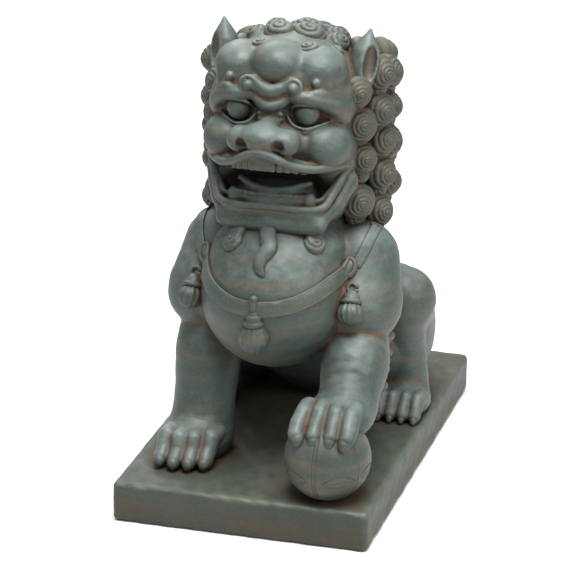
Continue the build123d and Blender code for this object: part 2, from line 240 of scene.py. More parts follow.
class Clay:
    """Clay on a regular grid: below zero is inside. Each grid point also knows its nearest two members."""

    def __init__(self, low, high, step):
        self.step = step * COARSE
        self.axes = [np.arange(a, b + self.step, self.step, dtype=np.float32) for a, b in zip(low, high)]
        size = [len(axis) for axis in self.axes]
        self.field = np.full(size, FAR_AWAY, np.float32)
        self.near = np.full(size, FAR_AWAY, np.float32)
        self.second = np.full(size, FAR_AWAY + 1, np.float32)
        self.member = np.full(size, -1, np.int8)
        self.runner = np.full(size, -1, np.int8)
        self.names = []

    def window(self, low, high):
        cut = tuple(slice(max(0, np.searchsorted(axis, a) - 1), np.searchsorted(axis, b) + 1)
                    for axis, a, b in zip(self.axes, low, high))
        x, y, z = (axis[c] for axis, c in zip(self.axes, cut))
        return cut, (x[:, None, None], y[None, :, None], z[None, None, :])

    def join(self, name, shape, blend=8.0):
        """Adds a shape to a member, with a fillet of about the blend where it meets other clay."""
        margin = blend + 4 * self.step
        cut, p = self.window(shape.low - margin, shape.high + margin)
        d = shape.distance(*p)
        self.field[cut] = smooth_min(self.field[cut], d, blend)
        if name not in self.names:
            self.names.append(name)
        self.claim(cut, d, self.names.index(name))

    def claim(self, cut, d, number):
        near, second, member, runner = (a[cut] for a in (self.near, self.second, self.member, self.runner))
        better = d < near
        same = member == number
        push = better & ~same
        second[push] = near[push]
        runner[push] = member[push]
        near[better] = d[better]
        member[better] = number
        next_best = ~better & ~same & (d < second)
        second[next_best] = d[next_best]
        runner[next_best] = number

    def carve(self, shape, blend=3.0):
        """Takes a shape away, with an edge rounded over the blend."""
        margin = blend + 3 * self.step
        cut, p = self.window(shape.low - margin, shape.high + margin)
        self.field[cut] = -smooth_min(-self.field[cut], shape.distance(*p), blend)

    def ridge(self, path, width, height):
        """Raises a soft ridge along a line near the surface, or sinks a groove if height is below zero."""
        line = limb(*[(*point, 0.0) for point in path])
        cut, p = self.window(line.low - 3 * width, line.high + 3 * width)
        self.field[cut] -= height * np.exp(-(line.distance(*p) / width) ** 2)

    def front(self, x, z, depth=0.0, start=-1e9):
        """The point of the surface first met when looking along +Y at x and z, sunk by the depth."""
        i = int(np.clip(np.searchsorted(self.axes[0], x), 0, len(self.axes[0]) - 1))
        k = int(np.clip(np.searchsorted(self.axes[2], z), 0, len(self.axes[2]) - 1))
        column = np.where(self.axes[1] < start, FAR_AWAY, self.field[i, :, k])
        inside = np.nonzero(column < 0)[0]
        if len(inside) == 0 or inside[0] == 0:
            return np.array([x, self.axes[1][np.argmin(column)], z])
        j = inside[0]
        part = column[j - 1] / (column[j - 1] - column[j])
        return np.array([x, self.axes[1][j - 1] + part * self.step + depth, z])

    def slope(self, points):
        """The direction straight out of the clay near each point, from central differences."""
        origin = np.array([axis[0] for axis in self.axes])
        spots = (points - origin) / self.step
        rise = [between_points(self.field, spots + e) - between_points(self.field, spots - e)
                for e in np.eye(3)]
        rise = np.stack(rise, 1)
        return rise / np.maximum(1e-6, np.linalg.norm(rise, axis=1, keepdims=True))

    def onto(self, points, lift=0.0, rounds=8):
        """Points near the surface moved onto it, then raised by the lift, and the way out at each."""
        points = np.atleast_2d(np.array(points, float))
        origin = np.array([axis[0] for axis in self.axes])
        for _ in range(rounds):
            off = between_points(self.field, (points - origin) / self.step)
            points = points - np.clip(off, -8, 8)[:, None] * self.slope(points)
        out = self.slope(points)
        return points + lift * out, out

    def hollows(self, rounds=5):
        """How far the surface lies in a hollow, from how a blurred field differs from the field."""
        blurred = self.field.copy()
        for _ in range(rounds):
            for axis in range(3):
                blurred = 0.5 * blurred + 0.25 * (np.roll(blurred, 1, axis) + np.roll(blurred, -1, axis))
        return (self.field - blurred) / self.step

    def piece(self, name, hollow):
        """The closed skin of one member, cut from the others halfway between them."""
        number = self.names.index(name)
        mine, runner_up = self.member == number, self.runner == number
        gap = (self.second - self.near) / 2
        region = np.where(mine, -gap, np.where(runner_up, gap, gap + FAR_AWAY / 10))
        overlap = 0.6 * self.step
        spots = np.nonzero(mine & (self.field < 2 * self.step))
        cut = tuple(slice(max(0, s.min() - 3), s.max() + 4) for s in spots)
        field = np.maximum(self.field[cut], region[cut] - overlap)
        field = np.pad(field, 1, constant_values=self.step)
        low = np.array([axis[c.start] for axis, c in zip(self.axes, cut)]) - self.step
        points, quads = skin(field)
        points = relaxed(points, quads)
        depth = between_points(hollow[cut], points - 1)
        return low + self.step * points, quads, depth


def between_points(values, spots):
    """A grid's values at spots between its points, in proportion along each axis."""
    limit = np.array(values.shape) - 1
    low = np.clip(np.floor(spots).astype(int), 0, limit - 1)
    part = np.clip(spots - low, 0, 1)
    total = np.zeros(len(spots))
    for i, j, k in CORNERS:
        share = (np.where(i, part[:, 0], 1 - part[:, 0]) * np.where(j, part[:, 1], 1 - part[:, 1])
                 * np.where(k, part[:, 2], 1 - part[:, 2]))
        total += share * values[low[:, 0] + i, low[:, 1] + j, low[:, 2] + k]
    return total


CORNERS = np.array([(i, j, k) for i in (0, 1) for j in (0, 1) for k in (0, 1)])
EDGES = [(a, b) for a in range(8) for b in range(a + 1, 8) if np.abs(CORNERS[a] - CORNERS[b]).sum() == 1]


def skin(field):
    """Surface nets: a point in each cell that the surface crosses, at the mean of its edge crossings, and
    a four-sided face round each grid edge that the surface crosses. All as whole arrays."""
    inside = field < 0
    n = [s - 1 for s in field.shape]
    full = np.ones(n, bool)
    some = np.zeros(n, bool)
    for i, j, k in CORNERS:
        corner = inside[i:i + n[0], j:j + n[1], k:k + n[2]]
        full &= corner
        some |= corner
    cells = np.argwhere(some & ~full)
    values = np.stack([field[tuple((cells + corner).T)] for corner in CORNERS], 1)
    total = np.zeros((len(cells), 3))
    count = np.zeros(len(cells))
    for a, b in EDGES:
        va, vb = values[:, a], values[:, b]
        crossed = (va < 0) != (vb < 0)
        t = np.where(crossed, va / np.where(crossed, va - vb, 1), 0)
        total += crossed[:, None] * (CORNERS[a] + t[:, None] * (CORNERS[b] - CORNERS[a]))
        count += crossed
    points = cells + total / count[:, None]
    number = np.full(n, -1, np.int64)
    number[tuple(cells.T)] = np.arange(len(cells))
    quads = []
    for axis in range(3):
        u, v = (axis + 1) % 3, (axis + 2) % 3
        low = [slice(None)] * 3
        high = [slice(None)] * 3
        low[axis], high[axis] = slice(0, -1), slice(1, None)
        spots = np.argwhere(inside[tuple(low)] != inside[tuple(high)])
        step_u, step_v = np.eye(3, dtype=int)[u], np.eye(3, dtype=int)[v]
        ring = [number[tuple((spots - du * step_u - dv * step_v).T)]
                for du, dv in ((1, 1), (0, 1), (0, 0), (1, 0))]
        ring = np.stack(ring, 1)
        outward = inside[tuple(spots.T)]
        quads.append(np.where(outward[:, None], ring, ring[:, ::-1]))
    return points, np.concatenate(quads)


def relaxed(points, quads, rounds=2):
    """Moves each point halfway to the mean of its neighbours, a few times."""
    a = np.concatenate([quads[:, i] for i in range(4)])
    b = np.concatenate([quads[:, (i + 1) % 4] for i in range(4)])
    count = np.maximum(1, np.bincount(a, minlength=len(points)))
    for _ in range(rounds):
        mean = np.stack([np.bincount(a, points[b, i], len(points)) for i in range(3)], 1) / count[:, None]
        points = 0.5 * points + 0.5 * mean
    return points


# ---------------------------------------------------------------- pieces
def make_piece(name, points, faces, slot, material, stands_for=(), hollow=None):
    """A mesh from points in millimetres and four-sided faces, riding on the casting."""
    mesh = bpy.data.meshes.new(name)
    mesh.vertices.add(len(points))
    mesh.vertices.foreach_set("co", (np.asarray(points, np.float32) * MM).ravel())
    mesh.loops.add(faces.size)
    mesh.loops.foreach_set("vertex_index", faces.astype(np.int32).ravel())
    mesh.polygons.add(len(faces))
    mesh.polygons.foreach_set("loop_start", np.arange(0, faces.size, 4, dtype=np.int32))
    mesh.polygons.foreach_set("use_smooth", np.ones(len(faces), bool))
    mesh.update(calc_edges=True)
    mesh.validate()
    attribute = mesh.attributes.new("hollow", "FLOAT", "POINT")
    if hollow is None:
        hollow = np.zeros(len(points))
    attribute.data.foreach_set("value", np.asarray(hollow, np.float32))
    mesh.materials.append(material)
    piece = bpy.data.objects.new(name, mesh)
    bpy.context.scene.collection.objects.link(piece)
    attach(piece, "root")
    if stands_for:
        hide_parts(*stands_for)
    return piece


def shell(rings):
    """A closed surface through rings of points, an array (rings, points round, 3). Each end is closed by
    a strip of faces across the ring. The faces look outwards: they are turned if the volume comes out
    below zero. The number of points round is even."""
    n, m = rings.shape[:2]
    points = rings.reshape(-1, 3)
    i, j = np.meshgrid(np.arange(n - 1), np.arange(m), indexing="ij")
    on = (j + 1) % m
    sides = np.stack([i * m + j, i * m + on, (i + 1) * m + on, (i + 1) * m + j], -1).reshape(-1, 4)
    k = np.arange(m // 2 - 1)
    cap = np.stack([k, k + 1, m - 2 - k, m - 1 - k], -1)
    faces = np.concatenate([sides, cap[:, ::-1], cap + (n - 1) * m])
    a, b, c, d = (points[faces[:, q]] for q in range(4))
    volume = np.einsum("ij,ij->i", a, np.cross(b, c)).sum() + np.einsum("ij,ij->i", a, np.cross(c, d)).sum()
    return points, faces if volume > 0 else faces[:, ::-1]


def merged(parts):
    """Several (points, faces, hollow) surfaces as one."""
    start, points, faces, hollow = 0, [], [], []
    for p, f, h in parts:
        points.append(p)
        faces.append(f + start)
        hollow.append(np.broadcast_to(h, len(p)))
        start += len(p)
    return np.concatenate(points), np.concatenate(faces), np.concatenate(hollow)


def make_joined(name, parts, slot, material, node):
    """One piece from several (points, faces, hollow) surfaces, standing for a CAD node."""
    points, faces, hollow = merged(parts)
    make_piece(name, points, faces, slot, material, [node], hollow)


def facing(axis):
    """Two directions across an axis and the axis itself, as the rows of a matrix."""
    axis = np.asarray(axis, float) / np.linalg.norm(axis)
    across = np.cross(axis, (0, 0, 1) if abs(axis[2]) < 0.9 else (0, 1, 0))
    across /= np.linalg.norm(across)
    return np.stack([across, np.cross(axis, across), axis])


def snail(centre, axis, radius, height, turns=3.2, sense=1, groove=2.2, oval=1.0, start=0.0, point=0.6):
    """A snail curl. At an angle and a share s of the radius it rises by height * (1 - s^2)^point, less a
    groove where turns * s^0.85 plus the angle's share of a turn is a whole number. It ends in a skirt."""
    around = round(44 / COARSE / 2) * 2
    out = round(34 / COARSE)
    angle = np.linspace(0, 2 * np.pi, around, endpoint=False)[None, :]
    share = np.linspace(0.03, 1, out)[:, None]
    phase = turns * share ** 0.85 + sense * (angle + start) / (2 * np.pi)
    edge = np.abs(np.sin(np.pi * phase)) ** 0.55
    fade = np.clip((share - 0.05) / 0.12, 0, 1)
    sunk = groove * (1 - edge) * fade
    up = height * (1 - share ** 2) ** point - sunk * np.sqrt(1 - 0.75 * share ** 2)
    wide = radius * share - 0.7 * sunk * share
    rings = np.stack([wide * np.cos(angle), oval * wide * np.sin(angle), up + 0 * angle], -1)
    skirt = rings[-1:] * (0.93, 0.93, 1) - (0, 0, 0.45 * radius)
    rings = np.concatenate([rings, skirt]) @ facing(axis) + np.asarray(centre, float)
    hollow = np.concatenate([0.6 * (1 - edge) * fade - 0.15 * edge, np.full((1, around), 0.6)]).ravel()
    points, faces = shell(rings)
    return points, faces, hollow


def tube(path, radii, flat=1.0, up=(0, 0, 1), square=2.0):
    """A closed tube along a path. Its section is a rounded oval: |cos|^(2/square) across, |sin|^(2/square)
    times flat upwards. Both ends shrink to a small ring."""
    path = np.asarray(path, float)
    radii = np.broadcast_to(np.asarray(radii, float), len(path))
    around = 20
    along = np.gradient(path, axis=0)
    along /= np.linalg.norm(along, axis=1, keepdims=True)
    up = np.broadcast_to(np.asarray(up, float), path.shape)
    across = np.cross(along, up)
    across /= np.linalg.norm(across, axis=1, keepdims=True)
    lift = np.cross(across, along)
    angle = np.linspace(0, 2 * np.pi, around, endpoint=False)
    c, d = np.cos(angle), np.sin(angle)
    c = np.sign(c) * np.abs(c) ** (2 / square)
    d = np.sign(d) * np.abs(d) ** (2 / square) * flat
    section = c[None, :, None] * across[:, None] + d[None, :, None] * lift[:, None]
    rings = path[:, None] + radii[:, None, None] * section
    first = path[0] - 0.3 * radii[0] * along[0] + 0.3 * radii[0] * section[0]
    last = path[-1] + 0.3 * radii[-1] * along[-1] + 0.3 * radii[-1] * section[-1]
    return shell(np.concatenate([first[None], rings, last[None]]))


def turned(foot, axis, heights, radii, ribs=0, depth=0.0, around=32):
    """A turned shape: radii at heights along the axis from the foot, with ribs as a cosine of the angle."""
    heights, radii = np.asarray(heights, float), np.asarray(radii, float)
    angle = np.linspace(0, 2 * np.pi, around, endpoint=False)
    flute = 1 - depth * (1 - np.abs(np.cos(ribs * angle / 2))) if ribs else np.ones(around)
    wide = radii[:, None] * flute[None, :]
    rings = np.stack([wide * np.cos(angle), wide * np.sin(angle), heights[:, None] + 0 * wide], -1)
    return shell(rings @ facing(axis) + np.asarray(foot, float))


def smooth_path(points, count):
    """A curve through the points, of (count) evenly spaced values: cubic pieces with averaged slopes."""
    p = np.asarray(points, float)
    knots = np.arange(len(p))
    slopes = np.gradient(p, axis=0)
    t = np.linspace(0, len(p) - 1, count)
    i = np.clip(t.astype(int), 0, len(p) - 2)
    f = (t - knots[i])[:, None]
    return ((2 * f ** 3 - 3 * f ** 2 + 1) * p[i] + (f ** 3 - 2 * f ** 2 + f) * slopes[i]
            + (3 * f ** 2 - 2 * f ** 3) * p[i + 1] + (f ** 3 - f ** 2) * slopes[i + 1])


def smooth_noise(x, y, z, scale):
    """Gentle hand-modelled unevenness: a sum of sines over a few odd directions, from -1 to 1."""
    w = 2 * np.pi / scale
    return (np.sin(w * (x + 0.37 * z) + 1.3) * np.sin(w * (0.83 * y - 0.31 * x) + 0.4)
            + np.sin(w * 1.7 * (z - 0.21 * y) + 2.1) * np.sin(w * 1.9 * (0.9 * x + 0.4 * y))) / 2


place_camera()
light_studio()
lay_floor()


# ---------------------------------------------------------------- shader helpers
class Tree:
    """Short calls for adding nodes to a material or a group and linking them."""

    def __init__(self, tree):
        self.nodes, self.links = tree.nodes, tree.links

    def add(self, kind, *inputs, **settings):
        """A node of that kind. Inputs are values or sockets in order, None to leave one as it is."""
        node = self.nodes.new("ShaderNode" + kind)
        for name, value in settings.items():
            setattr(node, name, value)
        for socket, value in zip(node.inputs, inputs):
            self.feed(socket, value)
        return node

    def feed(self, socket, value):
        if isinstance(value, bpy.types.NodeSocket):
            self.links.new(value, socket)
        elif value is not None:
            socket.default_value = value

    def math(self, operation, *inputs):
        return self.add("Math", *inputs, operation=operation).outputs[0]

    def noise(self, place, scale, detail=4.0, roughness=0.55):
        node = self.add("TexNoise")
        self.feed(node.inputs["Vector"], place)
        self.feed(node.inputs["Scale"], scale)
        self.feed(node.inputs["Detail"], detail)
        self.feed(node.inputs["Roughness"], roughness)
        return node.outputs[0]

    def ramp(self, value, start, end):
        """0 below the start, 1 above the end, smooth between."""
        node = self.add("MapRange", interpolation_type="SMOOTHSTEP")
        self.feed(node.inputs["Value"], value)
        self.feed(node.inputs["From Min"], start)
        self.feed(node.inputs["From Max"], end)
        return node.outputs[0]

    def mix(self, part, first, second):
        node = self.add("Mix", data_type="RGBA")
        self.feed(node.inputs[0], part)
        self.feed(node.inputs[6], first)
        self.feed(node.inputs[7], second)
        return node.outputs[2]


def group(name, inputs, outputs, build):
    """A shader node group with those named sockets. build gets its tree, its inputs, and returns outputs."""
    tree = bpy.data.node_groups.new(name, "ShaderNodeTree")
    for label, default in inputs.items():
        kind = "NodeSocketColor" if isinstance(default, tuple) else "NodeSocketFloat"
        socket = tree.interface.new_socket(label, in_out="INPUT", socket_type=kind)
        socket.default_value = default
    for label, kind in outputs.items():
        tree.interface.new_socket(label, in_out="OUTPUT", socket_type="NodeSocket" + kind)
    way_in, way_out = tree.nodes.new("NodeGroupInput"), tree.nodes.new("NodeGroupOutput")
    results = build(Tree(tree), way_in.outputs)
    for socket, result in zip(way_out.inputs, results):
        tree.links.new(result, socket)
    return tree


def colour(red, green, blue):
    """A colour given as screen values from 0 to 255, as the shader's linear values."""
    screen = np.array([red, green, blue]) / 255
    linear = np.where(screen <= 0.04045, screen / 12.92, ((screen + 0.055) / 1.055) ** 2.4)
    return (*[float(v) for v in linear], 1.0)


# Painted shade: the dark colour laid where the surface is shut in over a wide reach.
PAINTED_SHADE_COLOUR = colour(34, 30, 22)
# Painted shade inside the air holes.
HOLE_SHADE = colour(26, 24, 18)
STREAK_STRETCH = (7, 7, 90)
STROKE_STRETCH = (14, 14, 210)


def build_wear_and_highlight(tree, given):
    """Where handling and rain have rubbed the paint on ridges, and a painted highlight on faces that look
    upwards, broken up by noise.
    """
    place = tree.add("TexCoord").outputs["Object"]
    # The upward part of the normal, for a painted highlight on faces that look upwards.
    up = tree.add("SeparateXYZ", tree.add("NewGeometry").outputs["Normal"]).outputs[2]
    patches = tree.noise(place, 9.0, 5.0, 0.6)
    scratches = tree.noise(place, 55.0, 5.0, 0.7)
    ridge = tree.math("MULTIPLY", given["Hollow"], tree.math("MULTIPLY", given["Ridge gain"], -1.0))
    total = tree.math("ADD", ridge, tree.math("MULTIPLY", up, given["Up gain"]))
    total = tree.math("ADD", total, tree.math("MULTIPLY", patches, 1.1))
    total = tree.math("ADD", total, tree.math("MULTIPLY", scratches, 0.7))
    return [tree.ramp(tree.math("ADD", total, given["Bias"]), 0.0, 1.0)]


def build_grime_and_shade(tree, given):
    """Dirt that stays in hollows and where pieces meet, broken up by noise, and painted shade that is darker
    the more the surface is shut in over a wider reach, with blotches.
    """
    place = tree.add("TexCoord").outputs["Object"]
    nook = tree.add("AmbientOcclusion", samples=6)
    tree.feed(nook.inputs["Distance"], given["Reach"])
    shut_in = tree.math("SUBTRACT", 1.0, nook.outputs["AO"])
    spots = tree.noise(place, 38.0, 4.0, 0.6)
    total = tree.math("MULTIPLY", given["Hollow"], given["Hollow gain"])
    total = tree.math("ADD", total, tree.math("MULTIPLY", shut_in, given["Nook gain"]))
    total = tree.math("ADD", total, tree.math("MULTIPLY", spots, 0.8))
    # Painted shade: how shut in the surface is over a wider reach, with blotches.
    wide = tree.add("AmbientOcclusion", samples=6)
    tree.feed(wide.inputs["Distance"], given["Painted shade reach"])
    blotches = tree.math("MULTIPLY", tree.noise(place, 14.0, 4.0, 0.65), 0.35)
    deep = tree.math("ADD", tree.math("SUBTRACT", 1.0, wide.outputs["AO"]), blotches)
    return [tree.ramp(tree.math("ADD", total, given["Bias"]), 0.0, 1.0), tree.ramp(deep, 0.34, 0.98)]


def build_pinholes(tree, given):
    """Small round air holes, a few per square decimetre: near points of a cell pattern, thinned out."""
    place = tree.add("TexCoord").outputs["Object"]
    cells = tree.add("TexVoronoi")
    tree.feed(cells.inputs["Vector"], place)
    tree.feed(cells.inputs["Scale"], given["Scale"])
    chosen = tree.add("SeparateColor", cells.outputs["Color"]).outputs[0]
    kept = tree.math("LESS_THAN", chosen, given["Share"])
    near = tree.math("SUBTRACT", 1.0, tree.ramp(cells.outputs["Distance"], 0.03, 0.075))
    return [tree.math("MULTIPLY", kept, near)]


def build_grain(tree, given):
    """The fine tooth of cast stone under paint, as a height, and a speckle from its finest noise."""
    place = tree.add("TexCoord").outputs["Object"]
    fine = tree.noise(place, 420.0, 3.0, 0.6)
    broad = tree.noise(place, 60.0, 4.0, 0.5)
    total = tree.math("ADD", tree.math("MULTIPLY", fine, 0.35), broad)
    return [tree.math("MULTIPLY", total, given["Strength"]), tree.ramp(fine, 0.3, 0.7)]


# Rubbed paint on ridges, and a painted highlight on faces that look upwards.
WEAR_AND_HIGHLIGHT = group("wear", {"Hollow": 0.0, "Ridge gain": 1.0, "Up gain": 0.3, "Bias": -1.0},
             {"Mask": "Float"}, build_wear_and_highlight)
# Dirt in hollows and where pieces meet, and painted shade where the surface is shut in.
GRIME_AND_SHADE = group("grime", {"Hollow": 0.0, "Hollow gain": 1.0, "Nook gain": 1.0, "Reach": 0.015, "Bias": -0.8,
                        "Painted shade reach": 0.11}, {"Mask": "Float", "Deep": "Float"}, build_grime_and_shade)
PINHOLES = group("pinholes", {"Scale": 60.0, "Share": 0.04}, {"Mask": "Float"}, build_pinholes)
GRAIN = group("grain", {"Strength": 1.0}, {"Height": "Float", "Speckle": "Float"}, build_grain)


def painted_stone(name, base, pale_wear_and_highlight, dirt, wear_bias, grime_bias, up_gain=0.35, roughness=0.55, holes=0.04,
                  reach=0.014):
    """Cast stone under a dark paint that is rubbed pale on its high spots and has a painted highlight on
    faces that look upwards, keeps dirt in its hollows and has level streaks of dirt across it. It has painted
    shade where the surface is shut in and in its air holes."""
    material = bpy.data.materials.new(name)
    material.use_nodes = True
    tree = Tree(material.node_tree)
    shader = material.node_tree.nodes["Principled BSDF"]
    hollow = tree.add("Attribute", attribute_name="hollow").outputs["Fac"]

    def use(effect, **values):
        node = tree.add("Group", node_tree=effect)
        for label, value in values.items():
            tree.feed(node.inputs[label.replace("_", " ")], value)
        return node.outputs

    wear = use(WEAR_AND_HIGHLIGHT, Hollow=hollow, Ridge_gain=0.5, Up_gain=up_gain, Bias=wear_bias)["Mask"]
    dirt_and_shade = use(GRIME_AND_SHADE, Hollow=hollow, Hollow_gain=1.7, Nook_gain=1.7, Reach=reach, Bias=grime_bias)
    grime, deep = dirt_and_shade["Mask"], dirt_and_shade["Deep"]
    holes = use(PINHOLES, Share=holes)["Mask"]
    grain = use(GRAIN)
    place = tree.add("TexCoord").outputs["Object"]
    tint = tree.ramp(tree.noise(place, 5.0, 3.0), 0.35, 0.65)
    shade = tree.mix(tint, base, tuple(0.72 * v for v in base[:3]) + (1.0,))
    level = tree.add("Mapping", place)
    level.inputs["Scale"].default_value = STREAK_STRETCH
    streak = tree.ramp(tree.noise(level.outputs[0], 1.0, 5.0, 0.6), 0.42, 0.72)
    shade = tree.mix(tree.math("MULTIPLY", streak, 0.35), shade, dirt)
    # Pale where the paint is rubbed on ridges, and a painted highlight on faces that look upwards.
    shade = tree.mix(tree.math("MULTIPLY", wear, 0.92), shade, pale_wear_and_highlight)
    shade = tree.mix(tree.math("MULTIPLY", grime, 0.8), shade, dirt)
    # Painted shade: darker where the surface is shut in over a wide reach.
    shade = tree.mix(tree.math("MULTIPLY", deep, 0.8), shade, PAINTED_SHADE_COLOUR)
    shade = tree.mix(tree.math("MULTIPLY", grain["Speckle"], 0.12), shade, pale_wear_and_highlight)
    # Painted shade inside the air holes.
    shade = tree.mix(tree.math("MULTIPLY", holes, 0.9), shade, HOLE_SHADE)
    tree.feed(shader.inputs["Base Color"], shade)
    rough = tree.math("ADD", tree.math("MULTIPLY", grime, 0.25), roughness)
    tree.feed(shader.inputs["Roughness"], tree.math("ADD", rough, tree.math("MULTIPLY", wear, -0.08)))
    height = tree.math("SUBTRACT", grain["Height"], tree.math("MULTIPLY", holes, 3.0))
    bump = tree.add("Bump")
    bump.inputs["Strength"].default_value = 0.35
    bump.inputs["Distance"].default_value = 0.0006
    strokes = tree.add("Mapping", place)
    strokes.inputs["Scale"].default_value = STROKE_STRETCH
    height = tree.math("ADD", height, tree.math("MULTIPLY", tree.noise(strokes.outputs[0], 1.0, 3.0), 1.1))
    tree.feed(bump.inputs["Height"], height)
    tree.feed(shader.inputs["Normal"], bump.outputs["Normal"])
    shader.inputs["Specular IOR Level"].default_value = 0.4
    return material


BODY = painted_stone("painted_stone", colour(54, 67, 61), colour(116, 128, 124), colour(110, 80, 54),
                     wear_bias=-1.05, grime_bias=-0.68, up_gain=0.75, roughness=0.5)
PLINTH = painted_stone("plinth_stone", colour(50, 59, 52), colour(94, 102, 90), colour(88, 66, 42),
                       wear_bias=-1.0, grime_bias=-0.5, up_gain=0.5, roughness=0.52, reach=0.05, holes=0.07)
MANE = painted_stone("mane_stone", colour(54, 66, 59), colour(102, 110, 102), colour(112, 86, 62),
                     wear_bias=-1.0, grime_bias=-0.52, up_gain=0.6, roughness=0.52)
# The throat's stone: a darker copy of the painted stone, as painted shade inside the mouth.
SHADED_MOUTH_STONE = painted_stone("mouth_stone", colour(28, 29, 24), colour(56, 58, 48), colour(38, 28, 20),
                      wear_bias=-1.3, grime_bias=-0.6)


# ---------------------------------------------------------------- body
def model_body():
    """The torso, limbs and paws, in one block of clay."""
    clay = Clay((-176, -296, 46), (176, 262, 380), 2.2)
    clay.join("torso", egg((0, 122, 142), (96, 98, 98)), 0)
    clay.join("torso", limb((0, 112, 160, 90), (0, 30, 255, 84), (0, -15, 350, 76)), 24)
    clay.join("torso", egg((0, -100, 262), (94, 98, 92)), 14)
    clay.join("torso", egg((0, -84, 316), (84, 72, 50)), 20)
    for side, x in SIDES.items():
        wide = 104 if x > 0 else 99
        slope = both([(wide - 11, -40, 296, 50), (wide - 5, -64, 258, 53)], x)
        clay.join(f"shoulder_{side}", limb(*slope), 9)
        clay.join(f"shoulder_{side}", egg((x * wide, -74, 246), (50, 56, 47)), 8)
    right_leg = smooth_path([(-93, -88, 206, 36), (-91, -98, 172, 42), (-91, -112, 122, 39),
                             (-92, -124, 78, 41)], 9)
    clay.join("foreleg_right", limb(*right_leg), 3.5)
    left_leg = smooth_path([(106, -92, 202, 38), (109, -122, 186, 43), (111, -150, 164, 38),
                            (112, -172, 150, 39)], 9)
    clay.join("foreleg_left", limb(*left_leg), 3.5)
    for side, x in SIDES.items():
        clay.join(f"haunch_{side}", egg((x * 92, 128, 138), (56, 84, 87), (18, 0, 0)), 12)
        clay.join(f"haunch_{side}", limb((x * 98, 126, 160, 50), (x * 117, 84, 197, 44)), 6)
        clay.join(f"hind_leg_{side}", limb((x * 118, 76, 172, 31), (x * 124, 84, 128, 25),
                                           (x * 127, 86, 80, 26)), 5)
        clay.join(f"hind_paw_{side}", egg((x * 128, 62, 66), (34, 42, 24)), 7)
        for toe in HIND_TOES:
            bones = both([(toe, 52, 74, 11), (toe, 34, 78, 9.5), (toe, 24, 70, 9), (toe, 16, 62, 8.5)], x)
            clay.join(f"hind_paw_{side}", limb(*bones), 2)
    clay.join("forepaw_right", egg((-94, -142, 72), (46, 50, 32)), 10)
    for toe, knuckle, tip in zip(RIGHT_TOES, (-176, -182, -180, -172), RIGHT_TIPS):
        clay.join("forepaw_right", limb((toe + 3, -150, 84, 11), (toe, knuckle, 85, 11.5),
                                        (toe, tip + 12, 72, 10.5), (toe, tip, 64, 10)), 1.5)
    clay.join("forepaw_left", egg((110, -196, 148), (42, 38, 30)), 8)
    for x, slope in zip(LEFT_TOES, (-3, -1, 0, 2)):
        knuckle = 168 - abs(slope)
        clay.join("forepaw_left", limb((x, -206, knuckle - 5, 12), (x, -224, knuckle - 7, 12.5),
                                       (x + slope, -240, 149, 11.5), (x + slope, -251, 141, 10.5)), 1.5)
    clay.join("tail", limb((0, 208, 82, 30), (0, 220, 162, 20), (0, 170, 256, 9)), 10)
    for x in SIDES.values():
        clay.join("tail", limb((x * 15, 210, 84, 19), (x * 17, 224, 150, 15), (x * 9, 186, 236, 6)), 3)
        clay.ridge([(x * 34, -170, 205), (x * 60, -150, 218), (x * 80, -120, 232)], 7, -1.5)
    roughen(clay)
    return clay


def roughen(clay, depth=0.5):
    """Gentle hand-modelled waves all over the clay."""
    x, y, z = clay.axes[0][:, None, None], clay.axes[1][None, :, None], clay.axes[2][None, None, :]
    waves = smooth_noise(x, y, z, 46.0) + 0.5 * smooth_noise(z, x, y, 19.0)
    clay.field += (depth * waves).astype(np.float32)


def cut_into_pieces(clay, slots):
    """A piece for each member of the clay. slots gives each member's slot, material and CAD nodes."""
    hollow = clay.hollows()
    for name in clay.names:
        slot, material, nodes = slots(name)
        points, faces, depth = clay.piece(name, hollow)
        make_piece(f"{name}_carved", points, faces, slot, material, nodes, depth)


body = model_body()
cut_into_pieces(body, lambda name: ("body_stone", BODY, [name]))


def shape_plinth():
    """The slab: a rounded box with worn, slightly uneven faces."""
    low, high = low_of("plinth"), high_of("plinth")
    clay = Clay(low - 8, high + 8, 2.8)
    clay.join("plinth", slab(low, high, 6.0), 0)
    for i in range(9):
        along = low[0] + (0.5 + i + 0.4 * math.sin(5.0 * i)) * (high[0] - low[0]) / 9
        clay.carve(egg((along, low[1], high[2] + 1), (5 + 5 * math.sin(2.2 * i) ** 2, 4.5, 3.2)), 2)
        back = low[1] + (0.5 + i + 0.4 * math.cos(3.0 * i)) * (high[1] - low[1]) / 9
        clay.carve(egg((high[0], back, high[2] + 1), (4, 5 + 6 * math.sin(1.7 * i) ** 2, 3.2)), 2)
    roughen(clay, 0.7)
    points, faces, depth = clay.piece("plinth", clay.hollows())
    make_piece("plinth_slab", points, faces, "plinth_stone", PLINTH, ["plinth"], depth)


shape_plinth()


